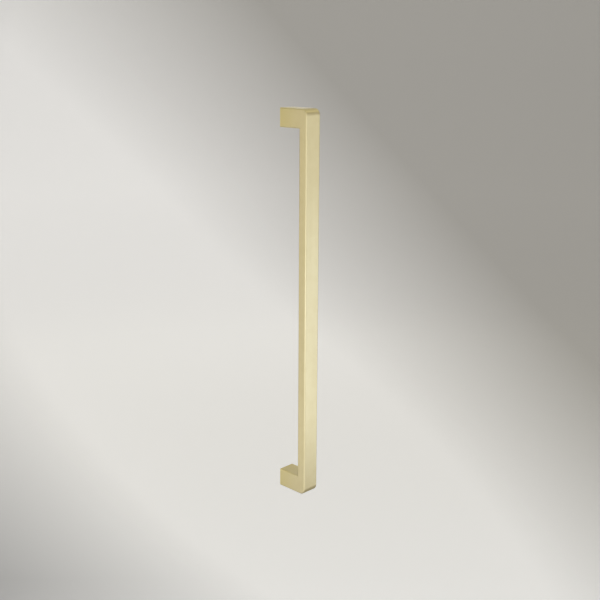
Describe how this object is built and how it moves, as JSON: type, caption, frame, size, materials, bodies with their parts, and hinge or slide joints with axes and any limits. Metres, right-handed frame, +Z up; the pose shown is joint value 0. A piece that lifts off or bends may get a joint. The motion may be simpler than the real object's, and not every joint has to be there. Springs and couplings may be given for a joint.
{
  "type": "door pull handle",
  "caption": "Upright square D-shaped door pull with a flat rectangular bar, square legs, rounded outer corners and a hidden fixing in the leg ends.",
  "frame": {"origin": "on the face of the door, on the handle's centre line, midway between the two legs", "axes": "+Z up along the bar, +Y from the handle into the door, +X across the door to the right seen from the front"},
  "size_m": [0.03, 0.057, 0.63],
  "materials": {
    "satin_brass": "satin, brushed along the bar, pale champagne gold tone",
    "zinc_plated_steel": "zinc plated, machined",
    "stainless_steel": "turned, plain"
  },
  "bodies": {
    "root": {"pull_body": "satin_brass", "upper_fixing_block": "zinc_plated_steel", "lower_fixing_block": "zinc_plated_steel", "upper_grub_screw": "stainless_steel", "lower_grub_screw": "stainless_steel"}
  },
  "joints": []
}
